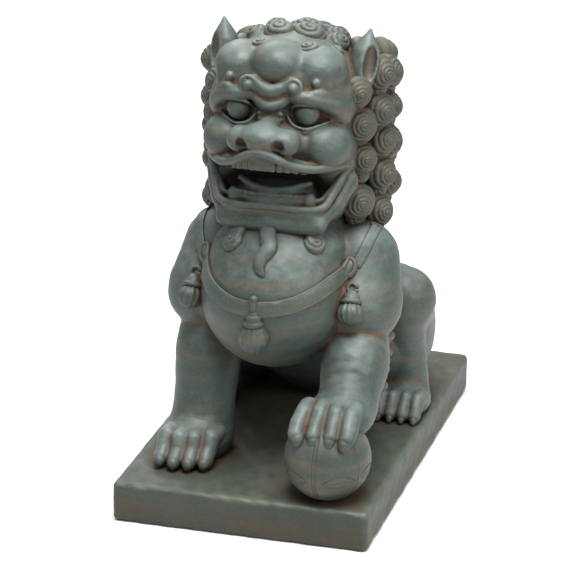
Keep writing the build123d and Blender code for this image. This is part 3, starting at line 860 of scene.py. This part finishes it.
# ---------------------------------------------------------------- head
def model_head():
    """The head in one block of clay: skull, brows, nose, cheeks, lips, jaw, teeth, tongue and ears."""
    clay = Clay((-116, -204, 340), (116, 66, 612), 1.5)
    clay.join("skull", egg((0, -26, 500), (91, 92, 89)), 0)
    clay.join("skull", egg((0, -88, 561), (35, 36, 28)), 11)
    clay.join("throat", egg((0, -26, 400), (84, 60, 60)), 10)
    for x in SIDES.values():
        clay.join("skull", egg((x * 50, -76, 553), (34, 37, 29)), 9)
        clay.join("skull", limb((x * 26, -104, 541, 14), (x * 62, -96, 536, 15)), 8)
        clay.join("skull", egg((x * 70, -70, 510), (22, 32, 28)), 14)
        clay.join("muzzle", egg((x * 60, -94, 464), (34, 40, 31)), 7)
        clay.join("muzzle", egg((x * 66, -58, 440), (26, 44, 46)), 14)
    clay.join("muzzle", egg((0, -118, 472), (46, 44, 24)), 9)
    clay.join("skull", egg((0, -110, 508), (18, 17, 22)), 6)
    model_jaw(clay)
    carve_mouth(clay)
    for side, x in SIDES.items():
        model_eye_socket(clay, side, x)
    model_forehead(clay)
    model_nose(clay)
    model_lips(clay)
    carve_nostrils(clay)
    model_teeth(clay)
    for side, x in SIDES.items():
        ear = f"ear_{side}"
        clay.join(ear, egg((x * 89, -23, 544), (20, 18, 38), (-23, x * 9, 0)), 5)
        clay.join(ear, limb((x * 91, -16, 562, 13), (x * 93.5, -10, 577, 7), (x * 95, -8, 588, 2.5)), 7)
        clay.carve(egg((x * 106, -40, 553), (11, 20, 29), (-23, x * 12, x * 20)), 2)
    roughen(clay, 0.3)
    return clay


def model_jaw(clay):
    clay.join("lower_jaw", slab((-64, -132, 352), (64, -30, 392), 14), 8)
    clay.join("lower_jaw", limb((-60, -122, 366, 11), (0, -127, 365, 11), (60, -122, 366, 11)), 5)
    for x in SIDES.values():
        corner = both([(58, -116, 370, 12), (74, -98, 386, 12), (86, -74, 412, 12)], x)
        clay.join("lower_jaw", limb(*corner), 7)
        clay.join("lower_jaw", limb(*both([(58, -70, 376, 22), (76, -60, 400, 18)], x)), 10)


def carve_mouth(clay):
    clay.carve(egg((0, -142, 424), (67, 62, 31)), 3)
    clay.carve(slab((-58, -190, 396), (58, -100, 436), 8), 3)
    for x in SIDES.values():
        clay.carve(limb(*both([(48, -122, 422, 20), (70, -116, 430, 12), (86, -104, 436, 5)], x)), 3)


def model_eye_socket(clay, side, x):
    """A deep socket under a heavy brow that ends in a leaf with beads over it, and two lower lids."""
    brow = f"brow_{side}"
    ridge = [(18, -112, 526, 6), (31, -120, 529, 8), (47, -121, 529, 9), (62, -113, 524, 9),
             (75, -98, 512, 10), (81, -82, 498, 10)]
    clay.join(brow, limb(*both(smooth_path(ridge, 16), x)), 6)
    leaf = [(50, -120, 534, 4), (58, -116, 535, 6), (68, -106, 529, 5.5), (76, -97, 526, 2.5)]
    clay.join(brow, limb(*both(smooth_path(leaf, 9), x)), 2.5)
    clay.carve(egg((x * 43, -130, 509), (21, 18, 13), (0, x * 8, 0)), 3)
    for drop, radius in ((0, 2.2), (5.0, 2.0)):
        lid = [(20, -118, 503, radius), (29, -123, 494, radius), (44, -123, 490.5, radius),
               (58, -114, 493, radius), (70, -102, 497, radius * 0.6)]
        lid = smooth_path(both(lid, x), 17) - (0, 0, drop, 0)
        clay.join("skull", limb(*lid), 2)
    lid = [(23, -116, 510, 1.8), (31, -124, 519, 2.2), (45, -126, 522, 2.4), (58, -117, 518, 2.2),
           (65, -107, 509, 1.6)]
    clay.join("skull", limb(*smooth_path(both(lid, x), 17)), 2)
    for spot, radius in (((29, -124, 541), 7), ((55, -113, 547), 6), ((68, -103, 539), 5.5)):
        clay.join(brow, egg((x * spot[0], *spot[1:]), (radius, radius, radius)), 3)
    turn = np.linspace(-0.6, 4.0, 14)
    hook = [(x * (29 - 9.5 * math.cos(a)), -123 + 1.5 * math.sin(a), 542 + 9.5 * math.sin(a), 2.8)
            for a in turn]
    clay.join(brow, limb(*hook), 1.5)


def model_forehead(clay):
    """Two crescents between the brows, and two bars over the nose."""
    upper = [(-23, -117, 548, 5), (-14, -120, 539, 8), (0, -123, 534.5, 9.5), (14, -120, 539, 8),
             (24, -117, 547, 5)]
    lower = [(-25, -116, 532, 5), (-14, -121, 521, 7.5), (0, -125, 516, 8.5), (14, -121, 521, 7.5),
             (24, -116, 531, 5)]
    for crescent in (upper, lower):
        clay.join("skull", limb(*smooth_path(crescent, 13)), 3)
    for height in (507, 500.5):
        clay.join("skull", limb((-13, -125, height, 3.8), (13, -125, height, 3.8)), 1.5)


def model_nose(clay):
    clay.join("nose", limb((0, -132, 490, 15), (0, -156, 488, 17)), 4)
    clay.join("nose", egg((0, -158, 487), (30, 24, 17)), 6)
    for x in SIDES.values():
        clay.join("nose", egg((x * 31, -154, 482), (15.5, 19, 16)), 7)


def carve_nostrils(clay):
    for x in SIDES.values():
        clay.carve(egg((x * 23, -176, 481), (8, 14, 7.5)), 2.5)
        clay.ridge([(x * 44, -150, 494), (x * 47, -150, 480), (x * 42, -152, 470)], 2.5, -2.0)


def model_lips(clay):
    """The upper lip is a wavy roll with its peak under the nose. The lower lip is two rolls."""
    half = [(0, -177, 474, 5.5), (19, -171, 466, 5.5), (38, -158, 454, 5.2), (56, -143, 446, 5),
            (76, -117, 442, 4.6), (89, -92, 439, 3.5)]
    line = smooth_path(both(half[:0:-1], -1) + half, 41)
    clay.join("upper_lip", limb(*line), 2.5)
    clay.join("muzzle", limb(*(line + (0, 14, -3, 2))), 3)
    for inset, height, radius in ((0, 388, 5), (6, 396, 3.5)):
        half = [(0, -132 + inset, height + 1, radius), (60 - inset, -125 + inset, height, radius),
                (76 - inset, -108, 406, radius), (88, -88, 432, 4)]
        clay.join("lower_jaw", limb(*smooth_path(both(half[:0:-1], -1) + half, 31)), 2)


def model_teeth(clay):
    """A row of square teeth under the upper lip, a lower row with a fang at each end, and the tongue."""
    for i in range(12):
        x = -47 + 8.6 * i
        y, z = -167 + 0.0105 * x ** 2, 446 - 0.0035 * x ** 2
        clay.join("upper_teeth", slab((x - 4.1, y, z), (x + 4.1, y + 12, z + 20 - 0.008 * x ** 2), 1.4), 0.8)
    for i in range(11):
        x = -40 + 8 * i
        clay.join("lower_teeth", slab((x - 3.7, -128 + 0.003 * x ** 2, 392), (x + 3.7, -112, 404), 1.4), 0.8)
    for x in SIDES.values():
        clay.join("lower_teeth", egg((x * 49, -119, 397), (8, 8, 10)), 2)
    clay.join("tongue", egg((0, -98, 395), (54, 34, 12)), 4)
    clay.join("tongue", egg((0, -92, 402), (46, 34, 11)), 4)
    half = [(0, -120, 406, 5), (24, -116, 408, 5), (44, -104, 413, 4.5)]
    clay.join("tongue", limb(*both(half[:0:-1], -1), *half), 3)


HEAD_SLOTS = {"throat": ("mouth_stone", SHADED_MOUTH_STONE), "tongue": ("mouth_stone", BODY),
              "upper_teeth": ("mouth_stone", BODY), "lower_teeth": ("mouth_stone", BODY)}


def head_slots(name):
    return *HEAD_SLOTS.get(name, ("body_stone", BODY)), [name]


head = model_head()
cut_into_pieces(head, head_slots)


def eyeball(side):
    """A ball with a flat raised disc for an iris: the radius swells within the disc's angle."""
    x = SIDES[side]
    centre, radius, iris = np.array([x * 43, -111.0, 508.5]), 16.0, 0.78
    lean = np.linspace(0, np.pi, round(48 / COARSE))[1:-1, None]
    round_ = np.linspace(0, 2 * np.pi, 48, endpoint=False)[None, :]
    swell = 1.3 / (1 + np.exp((lean - iris) / 0.025))
    dimple = -0.9 * np.exp(-((lean - iris - 0.05) / 0.05) ** 2)
    r = radius + swell + dimple
    rings = np.stack([r * np.sin(lean) * np.cos(round_), r * np.sin(lean) * np.sin(round_),
                      r * np.cos(lean) + 0 * round_], -1)
    points, faces = shell(rings @ facing((x * 0.08 + 0.05, -1, -0.1)) + centre)
    hollow = np.repeat(np.exp(-((lean[:, 0] - iris - 0.05) / 0.08) ** 2), 48)
    make_piece(f"eyeball_{side}", points, faces, "body_stone", BODY, [f"eye_{side}"], hollow)


for side in SIDES:
    eyeball(side)


# ---------------------------------------------------------------- mane, locks and curls
def model_mane():
    """The hair under the curls, with strands that run down it."""
    clay = Clay((-122, -64, 316), (122, 140, 600), 2.2)
    clay.join("mane", limb((0, 14, 400, 86), (0, 18, 424, 98), (0, 20, 470, 102), (0, 10, 496, 84)), 0)
    clay.join("mane", limb((0, 4, 350, 80), (0, 12, 400, 92)), 16)
    clay.carve(slab((-140, -120, 300), (140, -44, 620), 4), 6)
    x, y, z = clay.axes[0][:, None, None], clay.axes[1][None, :, None], clay.axes[2][None, None, :]
    turn = np.arctan2(y - 20, x)
    strand = np.sin(34 * turn + 2.2 * np.sin(z / 17) + 1.3 * np.sin(z / 9 + 5 * turn))
    clay.field += (0.9 * strand + 1.6 * smooth_noise(x, y, z, 30.0)).astype(np.float32)
    return clay


mane = model_mane()
cut_into_pieces(mane, lambda name: ("mane_stone", MANE, [name]))

CURL_PITCH = 44
CURL_RING_Y = 14
CURL_RING_RADII = (108, 106)
CURL_LOW = (518, 475, 430, 374)
CURL_HIGH = (532, 484, 443, 399, 350)


def curls_in_column(azimuth, heights, sense):
    """Snail curls down a column of the mane at that azimuth, 0 being the side and 90 the back."""
    curls = []
    for i, height in enumerate(heights):
        turn = azimuth + 2.5 * math.sin(1.7 * i + azimuth)
        a = math.radians(turn)
        foot = np.array([CURL_RING_RADII[0] * math.cos(a), CURL_RING_Y + CURL_RING_RADII[1] * math.sin(a),
                         height])
        ahead = 0.5 if azimuth < 30 else 0.1
        axis = np.array([math.cos(a), math.sin(a) - ahead, 0.12 + 0.1 * math.sin(2.3 * i + azimuth)])
        radius = 23 + 1.5 * math.sin(3.1 * i + azimuth)
        curls.append(snail(foot, axis, radius, 21, 5.2, sense, 2.4, start=azimuth + 1.9 * i, point=0.8))
        gap = foot + (0, 0, -0.5 * CURL_PITCH)
        curls.append(snail(gap - 4 * axis * (1, 1, 0), axis, 14, 10, 2.6, -sense, 1.5, start=i))
    return curls


def flipped(parts):
    """Surfaces mirrored to the other side of the lion, still facing outwards."""
    return [(points * (-1, 1, 1), faces[:, ::-1], hollow) for points, faces, hollow in parts]


def make_curls():
    side_curls = curls_in_column(-33, CURL_LOW, 1) + curls_in_column(-9, CURL_HIGH, 1)
    side_curls += curls_in_column(14, CURL_LOW, 1)
    half = curls_in_column(37, CURL_HIGH, 1) + curls_in_column(60, CURL_LOW, 1)
    back = half + flipped(half) + curls_in_column(90, CURL_HIGH, 1)
    for name, curls, node in (("curls_left", side_curls, "mane_curls_left"),
                              ("curls_right", flipped(side_curls), "mane_curls_right"),
                              ("curls_back", back, "mane_curls_back")):
        make_joined(name, curls, "mane_stone", MANE, node)


make_curls()


def make_crown_curls():
    """Flat curls over the top of the head, and three at the hairline."""
    crown = [(-15, -36, 594, 21, 13), (24, -30, 590, 22, 13), (58, -8, 574, 20, 13), (-54, -10, 574, 20, 13),
             (-34, 14, 574, 22, 14), (10, 10, 579, 23, 14), (46, 24, 566, 22, 14), (-64, 38, 552, 22, 14),
             (-16, 52, 562, 24, 14), (28, 56, 558, 24, 14), (70, 46, 546, 22, 14), (-2, 88, 534, 24, 14),
             (-46, 80, 532, 24, 14), (46, 82, 532, 24, 14), (-84, 14, 548, 20, 12), (86, 16, 548, 20, 12)]
    brow = [(-27, -76, 580, 15, 9), (35, -76, 580, 16, 9), (66, -50, 574, 13, 8)]
    for name, spots, node, squash in (("crown_snails", crown, "crown_curls", 0.8),
                                      ("forehead_snails", brow, "forehead_curls", 0.72)):
        curls = []
        for i, (x, y, z, radius, height) in enumerate(spots):
            away = np.array([x, y - 6, z - 500.0])
            foot, out = np.array([x, y, z], float), away / np.linalg.norm(away)
            if y < 0:
                placed, way = head.onto([foot], 0.0)
                foot, out = placed[0], way[0]
            sense = 1 if i % 2 else -1
            curls.append(snail(foot - 0.2 * height * out, out + (0, -0.25, 0), radius, height, 2.6, sense,
                               2.0, squash, start=1.3 * i))
        make_joined(name, curls, "mane_stone", BODY, node)


make_crown_curls()


def make_beard():
    """Three locks that lie on the chest: a pointed wavy one, and two straps that end in a flat spiral."""
    path = smooth_path([(-4, 0, 362), (2, 0, 350), (7, 0, 341), (0, 0, 330), (1, 0, 321), (8, 0, 314)], 28)
    start = [body.front(x, z) for x, _, z in path]
    points, out = body.onto(start, 1.5)
    radii = np.interp(np.linspace(0, 1, 28), [0, 0.5, 0.85, 1], [11, 10, 6, 1.2])
    points[0] += (0, 6, 0)
    lock = tube(points, radii, 0.75, out, 2.4)
    make_piece("beard_middle", *lock, "body_stone", BODY, ["beard_lock_middle"])
    for side, x in SIDES.items():
        path = smooth_path([(x * 42 + 6, 0, 362), (x * 45 + 6, 0, 351), (x * 50 + 6, 0, 341)], 12)
        points, out = body.onto([body.front(q[0], q[2]) for q in path], 1.5)
        strap = tube(points, 11.5, 0.6, out, 3.0)
        curl = snail(points[-1] - 1.5 * out[-1], out[-1], 15, 9, 2.4, x, 2.0, start=1.5)
        make_joined(f"beard_{side}", [(*strap, 0.0), curl], "body_stone", BODY, f"beard_lock_{side}")


make_beard()


# ---------------------------------------------------------------- harness
def make_harness():
    """A raised band round the chest, a thin strap over each shoulder, two ribbed bells and a pendant."""
    across = np.linspace(-98, 98, 61)
    start = [body.front(x, 277 + 31 * (abs(x) / 98) ** 2.3) for x in across]
    band, out = body.onto(start, 0.5)
    parts = [(*tube(band, 9.6, 0.42, out, 3.2), 0.0)]
    for edge in (-8.2, 8.2):
        along = np.gradient(band, axis=0)
        along /= np.linalg.norm(along, axis=1, keepdims=True)
        rim, way = body.onto(band + edge * np.cross(out, along), 2.2)
        parts.append((*tube(rim, 1.9, 1.0, way), 0.2))
    for x in SIDES.values():
        loop = both([(84, 0, 306), (91, 0, 313), (99, 0, 310), (100, 0, 300), (94, 0, 294)], x)
        loop = smooth_path(loop, 20)
        rim, way = body.onto([body.front(q[0], q[2]) for q in loop], 2.5)
        parts.append((*tube(rim, 3.2, 1.0, way), 0.2))
    make_joined("band_ribbon", parts, "body_stone", BODY, "chest_band")
    for side, x in SIDES.items():
        path = smooth_path([(x * 116, 0, 352), (x * 113, 0, 338), (x * 108, 0, 322), (x * 101, 0, 306)], 24)
        start = [body.front(q[0], q[2]) for q in path]
        strap, out = body.onto(start, 0.3)
        ribbon = tube(strap, 7.0, 0.3, out, 3.2)
        make_piece(f"strap_{side}", *ribbon, "body_stone", BODY, [f"shoulder_strap_{side}"])
        make_bell(side, x)
    make_pendant()


def make_bell(side, x):
    """A ring, a stepped cap and a ribbed round body, hanging in front of the shoulder."""
    foot = body.front(x * 105, 256) + (0, -8, -12)
    hook = body.front(x * 101, 300) + (0, -5, 0)
    rise = (hook - foot) / np.linalg.norm(hook - foot)
    heights = [0, 1, 4, 9, 15, 21, 26, 29]
    radii = [1, 8, 13, 16.5, 17.5, 16, 12, 8]
    belly = turned(foot, rise, heights, radii, 12, 0.12, 48)
    cap = turned(foot + 26 * rise, rise, [0, 1, 4, 6, 8, 11, 13, 17, 18],
                 [9, 13.5, 14, 12, 10, 10.5, 8, 6, 2])
    ring = [foot + (47 + 6 * math.sin(a)) * rise + (6 * math.cos(a), 0, 0)
            for a in np.linspace(0.2, 6.1, 24)]
    ring = tube(ring, 2.6, 1.0, (0, 1, 0))
    make_joined(f"bell_{side}", [(*belly, 0.05), (*cap, 0.0), (*ring, 0.0)], "body_stone", BODY,
                f"side_bell_{side}")


def make_pendant():
    """A loop over the band, a ring, a cap and a netted pear, hanging in front of the belly."""
    top = body.front(0, 278)
    foot = np.array([0, top[1] + 1, 215.0])
    tall = np.linspace(0, 44, 24)
    wide = 20.5 * np.sin(np.pi * np.clip((tall + 1.5) / 52, 0, 1)) ** 0.75 * (1 - 0.0035 * (tall - 14))
    wide -= 0.7 * (np.abs((tall % 10) - 5) < 1)
    pear = turned(foot, (0, -0.06, 1), tall, wide, 14, 0.07, 56)
    cap = turned(foot + (0, -2.5, 40), (0, 0, 1), [0, 1, 4, 7, 9, 12, 15, 17, 20, 21],
                 [7, 12, 13.5, 12, 9, 10.5, 9, 6, 6.5, 2])
    loop = turned(foot + (0, -3, 58), (0, 0, 1), [0, 1, 6, 14, 20, 22], [2, 5.5, 4.5, 5, 5.5, 2])
    make_joined("pendant_pear", [(*pear, 0.05), (*cap, 0.0), (*loop, 0.0)], "body_stone", BODY,
                "chest_pendant")


make_harness()


# ---------------------------------------------------------------- steel inside
def forged_steel():
    """Ribbed reinforcing rod: dark rolled steel with rust in patches."""
    material = bpy.data.materials.new("forged_steel")
    material.use_nodes = True
    tree = Tree(material.node_tree)
    shader = material.node_tree.nodes["Principled BSDF"]
    place = tree.add("TexCoord").outputs["Object"]
    rust = tree.ramp(tree.noise(place, 60.0, 6.0, 0.65), 0.45, 0.62)
    tree.feed(shader.inputs["Base Color"], tree.mix(rust, colour(96, 98, 102), colour(112, 66, 38)))
    tree.feed(shader.inputs["Metallic"], tree.math("SUBTRACT", 1.0, rust))
    tree.feed(shader.inputs["Roughness"], tree.math("ADD", tree.math("MULTIPLY", rust, 0.4), 0.35))
    return material


STEEL = forged_steel()
for thing in list(bpy.data.objects):
    if thing.type == "MESH" and thing.name.split(".")[0] in ("foreleg_rods", "neck_rod", "ball_dowel"):
        thing.data.materials.clear()
        thing.data.materials.append(STEEL)


# ---------------------------------------------------------------- claws, tufts, tail curls and the ball
def make_claws():
    """A short blunt claw at the tip of each toe."""
    for side, x in SIDES.items():
        claws = [tube([(x * toe, 22, 60), (x * toe, 12, 60), (x * toe, 5, 55)], [7, 6, 2.5])
                 for toe in HIND_TOES]
        make_joined(f"hind_nails_{side}", [(*claw, 0.0) for claw in claws], "body_stone", BODY,
                    f"hind_claws_{side}")
    rows = {"right": [((toe, tip + 2, 63), (toe, tip - 8, 62), (toe, tip - 13, 57))
                      for toe, tip in zip(RIGHT_TOES, RIGHT_TIPS)],
            "left": [((x, -250, 140), (x, -258, 135), (x, -261, 129)) for x in LEFT_TOES]}
    thinning = [9, 9, 8.5, 8, 7, 5.5, 3]
    for side, paths in rows.items():
        claws = [tube(smooth_path(path, len(thinning)), thinning) for path in paths]
        make_joined(f"fore_nails_{side}", [(*claw, 0.0) for claw in claws], "body_stone", BODY,
                    f"foreclaws_{side}")


def make_tufts():
    """Wavy tufts of hair behind each elbow, and curls either side of the tail."""
    for side, x in SIDES.items():
        tufts = []
        for i in range(4):
            root = (x * (124 - 2 * i), -54 - 3 * i, 200 - 22 * i)
            tip = at(root, x, 4, 26, -16)
            middle = at(root, x, 9, 12, -3)
            tufts.append((*tube(smooth_path([root, middle, tip], 12), np.linspace(10, 3, 12)), 0.3))
            tufts.append(snail(at(root, x, 7, 6, -4), (x, -0.5, 0.1), 9, 5, 2.2, x, 1.5, start=i))
        make_joined(f"elbow_locks_{side}", tufts, "mane_stone", BODY, f"elbow_tufts_{side}")
    curls = []
    for x in SIDES.values():
        for out, y, z in ((42, 214, 108), (40, 218, 150), (33, 196, 200)):
            curls.append(snail((x * out, y - 6, z), (x * 0.4, 1, 0.25), 19, 14, 2.8, x, start=z))
    make_joined("tail_snails", curls, "mane_stone", BODY, "tail_curls")


def make_ball():
    """The brocade ball: a sphere on the slab, sunk along a double line in front, one line at each side and
    the outlines and middle veins of six leaves."""
    centre = middle_of("brocade_ball")
    radius = (high_of("brocade_ball")[0] - low_of("brocade_ball")[0]) / 2
    centre[2] = high_of("brocade_ball")[2] - radius
    rows, columns = round(220 / COARSE), round(440 / COARSE / 2) * 2
    tilt = np.linspace(0.02, np.pi - 0.02, rows)[:, None]
    turn = np.linspace(0, 2 * np.pi, columns, endpoint=False)[None, :]
    height = np.degrees(np.pi / 2 - tilt)
    ahead = np.degrees(np.angle(np.exp(1j * (turn + np.pi / 2))))
    cut = np.zeros((rows, columns))
    for line in (-7, -2, 60, -64):
        cut += np.exp(-(((ahead - line) * np.cos(np.radians(height))) / 0.9) ** 2) * (np.abs(height) < 80)
    leaves = ((-37, -14, 23, 9), (31, -14, 23, 9), (84, -10, 20, 9), (-86, -10, 20, 9), (130, -8, 24, 10),
              (-136, -8, 24, 10))
    for middle, level, width, tall in leaves:
        sideways = (ahead - middle) / width
        arch = np.clip(1 - sideways ** 2, 0, 1)
        rim = np.abs(height - level) - tall * arch
        cut += np.exp(-(rim / 1.4) ** 2) * (np.abs(sideways) < 1.05)
        cut += 0.7 * np.exp(-((height - level) / 1.2) ** 2) * (np.abs(sideways) < 0.8)
    cut = np.clip(cut, 0, 1.2)
    r = radius - 1.5 * cut
    rings = np.stack([r * np.sin(tilt) * np.cos(turn), r * np.sin(tilt) * np.sin(turn), r * np.cos(tilt)], -1)
    rings[..., 2] = np.maximum(rings[..., 2], DECK - centre[2] - 0.5)
    points, faces = shell(rings + centre)
    make_piece("engraved_ball", points, faces, "body_stone", BODY, ["brocade_ball"], 0.4 * cut.ravel())


make_claws()
make_tufts()
make_ball()
